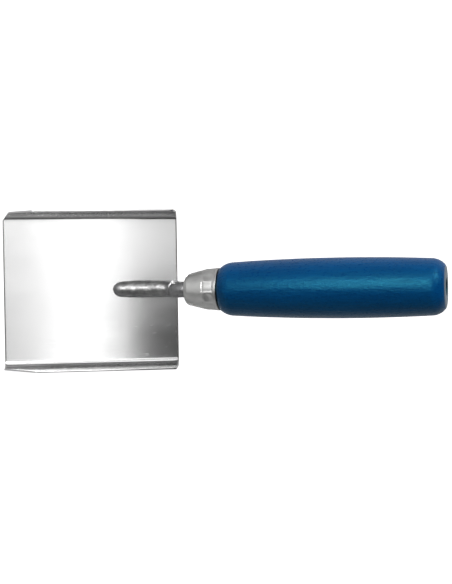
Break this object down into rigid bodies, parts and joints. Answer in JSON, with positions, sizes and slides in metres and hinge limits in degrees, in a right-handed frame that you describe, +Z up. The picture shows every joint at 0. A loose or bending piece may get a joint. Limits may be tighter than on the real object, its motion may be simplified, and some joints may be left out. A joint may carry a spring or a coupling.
{
  "type": "u-shaped plastering trowel",
  "caption": "U-shaped plastering trowel: a folded steel blade with two turned-up sides, a cranked tang, a crimped ferrule and a turned wooden handle with a hole in its butt.",
  "frame": {"origin": "middle of the blade's underside, the sole that lies on the wall or floor", "axes": "+X from the blade to the handle's butt, +Z up from the sole to the handle, +Y across the blade to its left side"},
  "size_m": [0.2213, 0.0818, 0.0797],
  "materials": {
    "blade_steel": "satin rolled stainless sheet",
    "forged_steel": "ground and hammered bar, worn bright on top",
    "ferrule_metal": "pressed and crimped, dull satin",
    "lacquered_wood": "blue lacquer over turned wood, bare at the butt hole",
    "adhesive": "cured resin"
  },
  "bodies": {
    "root": {"blade": "blade_steel", "tang": "forged_steel", "weld_nuggets": "forged_steel", "ferrule": "ferrule_metal", "handle": "lacquered_wood", "tang_adhesive": "adhesive"}
  },
  "joints": []
}
